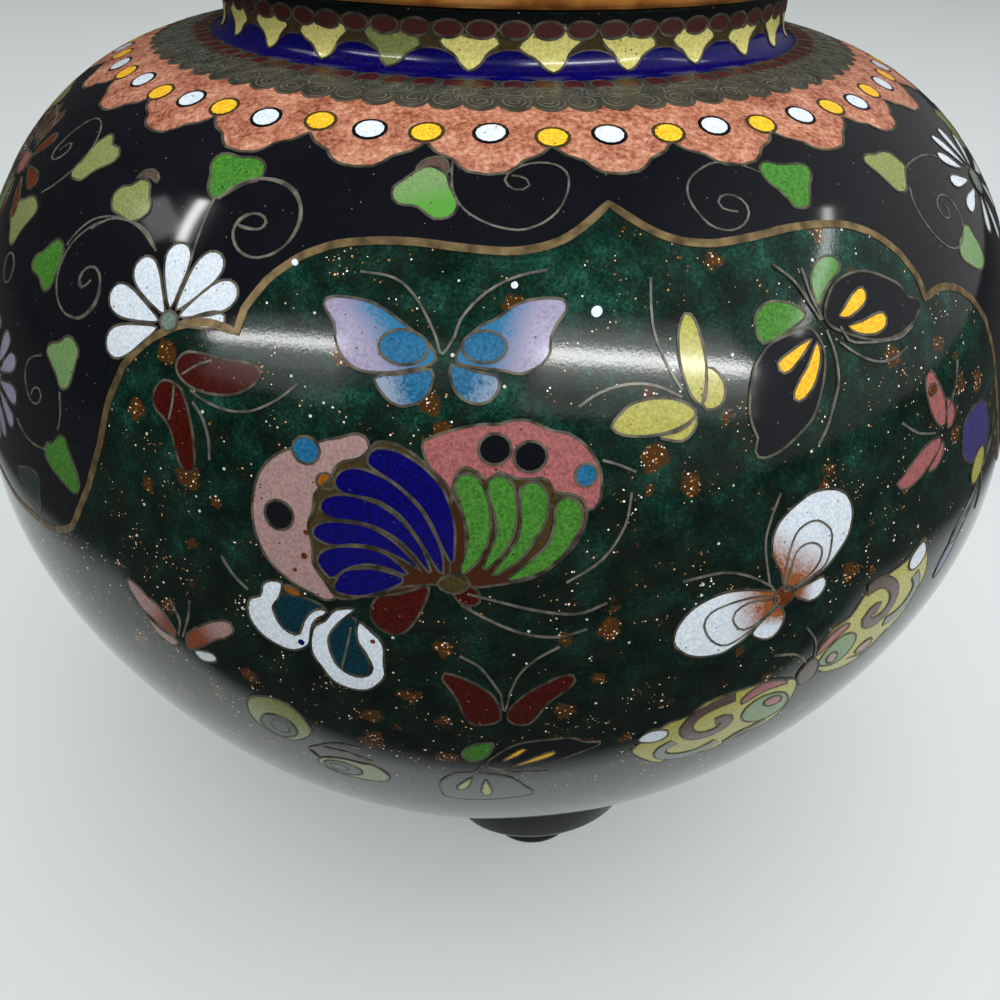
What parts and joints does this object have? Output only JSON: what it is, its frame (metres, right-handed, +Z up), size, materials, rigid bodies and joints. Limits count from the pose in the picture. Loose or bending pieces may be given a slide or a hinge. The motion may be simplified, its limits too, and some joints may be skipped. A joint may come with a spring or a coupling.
{
  "type": "lidded tripod vessel",
  "caption": "Lidded tripod vessel: a hollow enamelled globe on short feet, with a copper mouth rim and a domed lift-off lid with a bud knob.",
  "frame": {"origin": "on the vessel's axis, in the plane of the three soles", "axes": "+Z up along the vessel's axis; the front foot and the front panel stand towards -Y; +X to the viewer's right"},
  "size_m": [0.115, 0.115, 0.1402],
  "materials": {
    "body_enamel": "polished cloisonne enamel, aventurine green below a black collar",
    "lid_enamel": "polished cloisonne enamel, black with a salmon lappet band",
    "foot_enamel": "glossy black enamel",
    "rim_copper": "worn, toned copper",
    "knob_copper": "worn, toned copper"
  },
  "bodies": {
    "root": {"bowl": "body_enamel", "mouth_rim": "rim_copper", "lid_rim": "rim_copper", "lid": "lid_enamel", "finial": "knob_copper", "foot_front": "foot_enamel", "foot_right": "foot_enamel", "foot_left": "foot_enamel"}
  },
  "joints": []
}
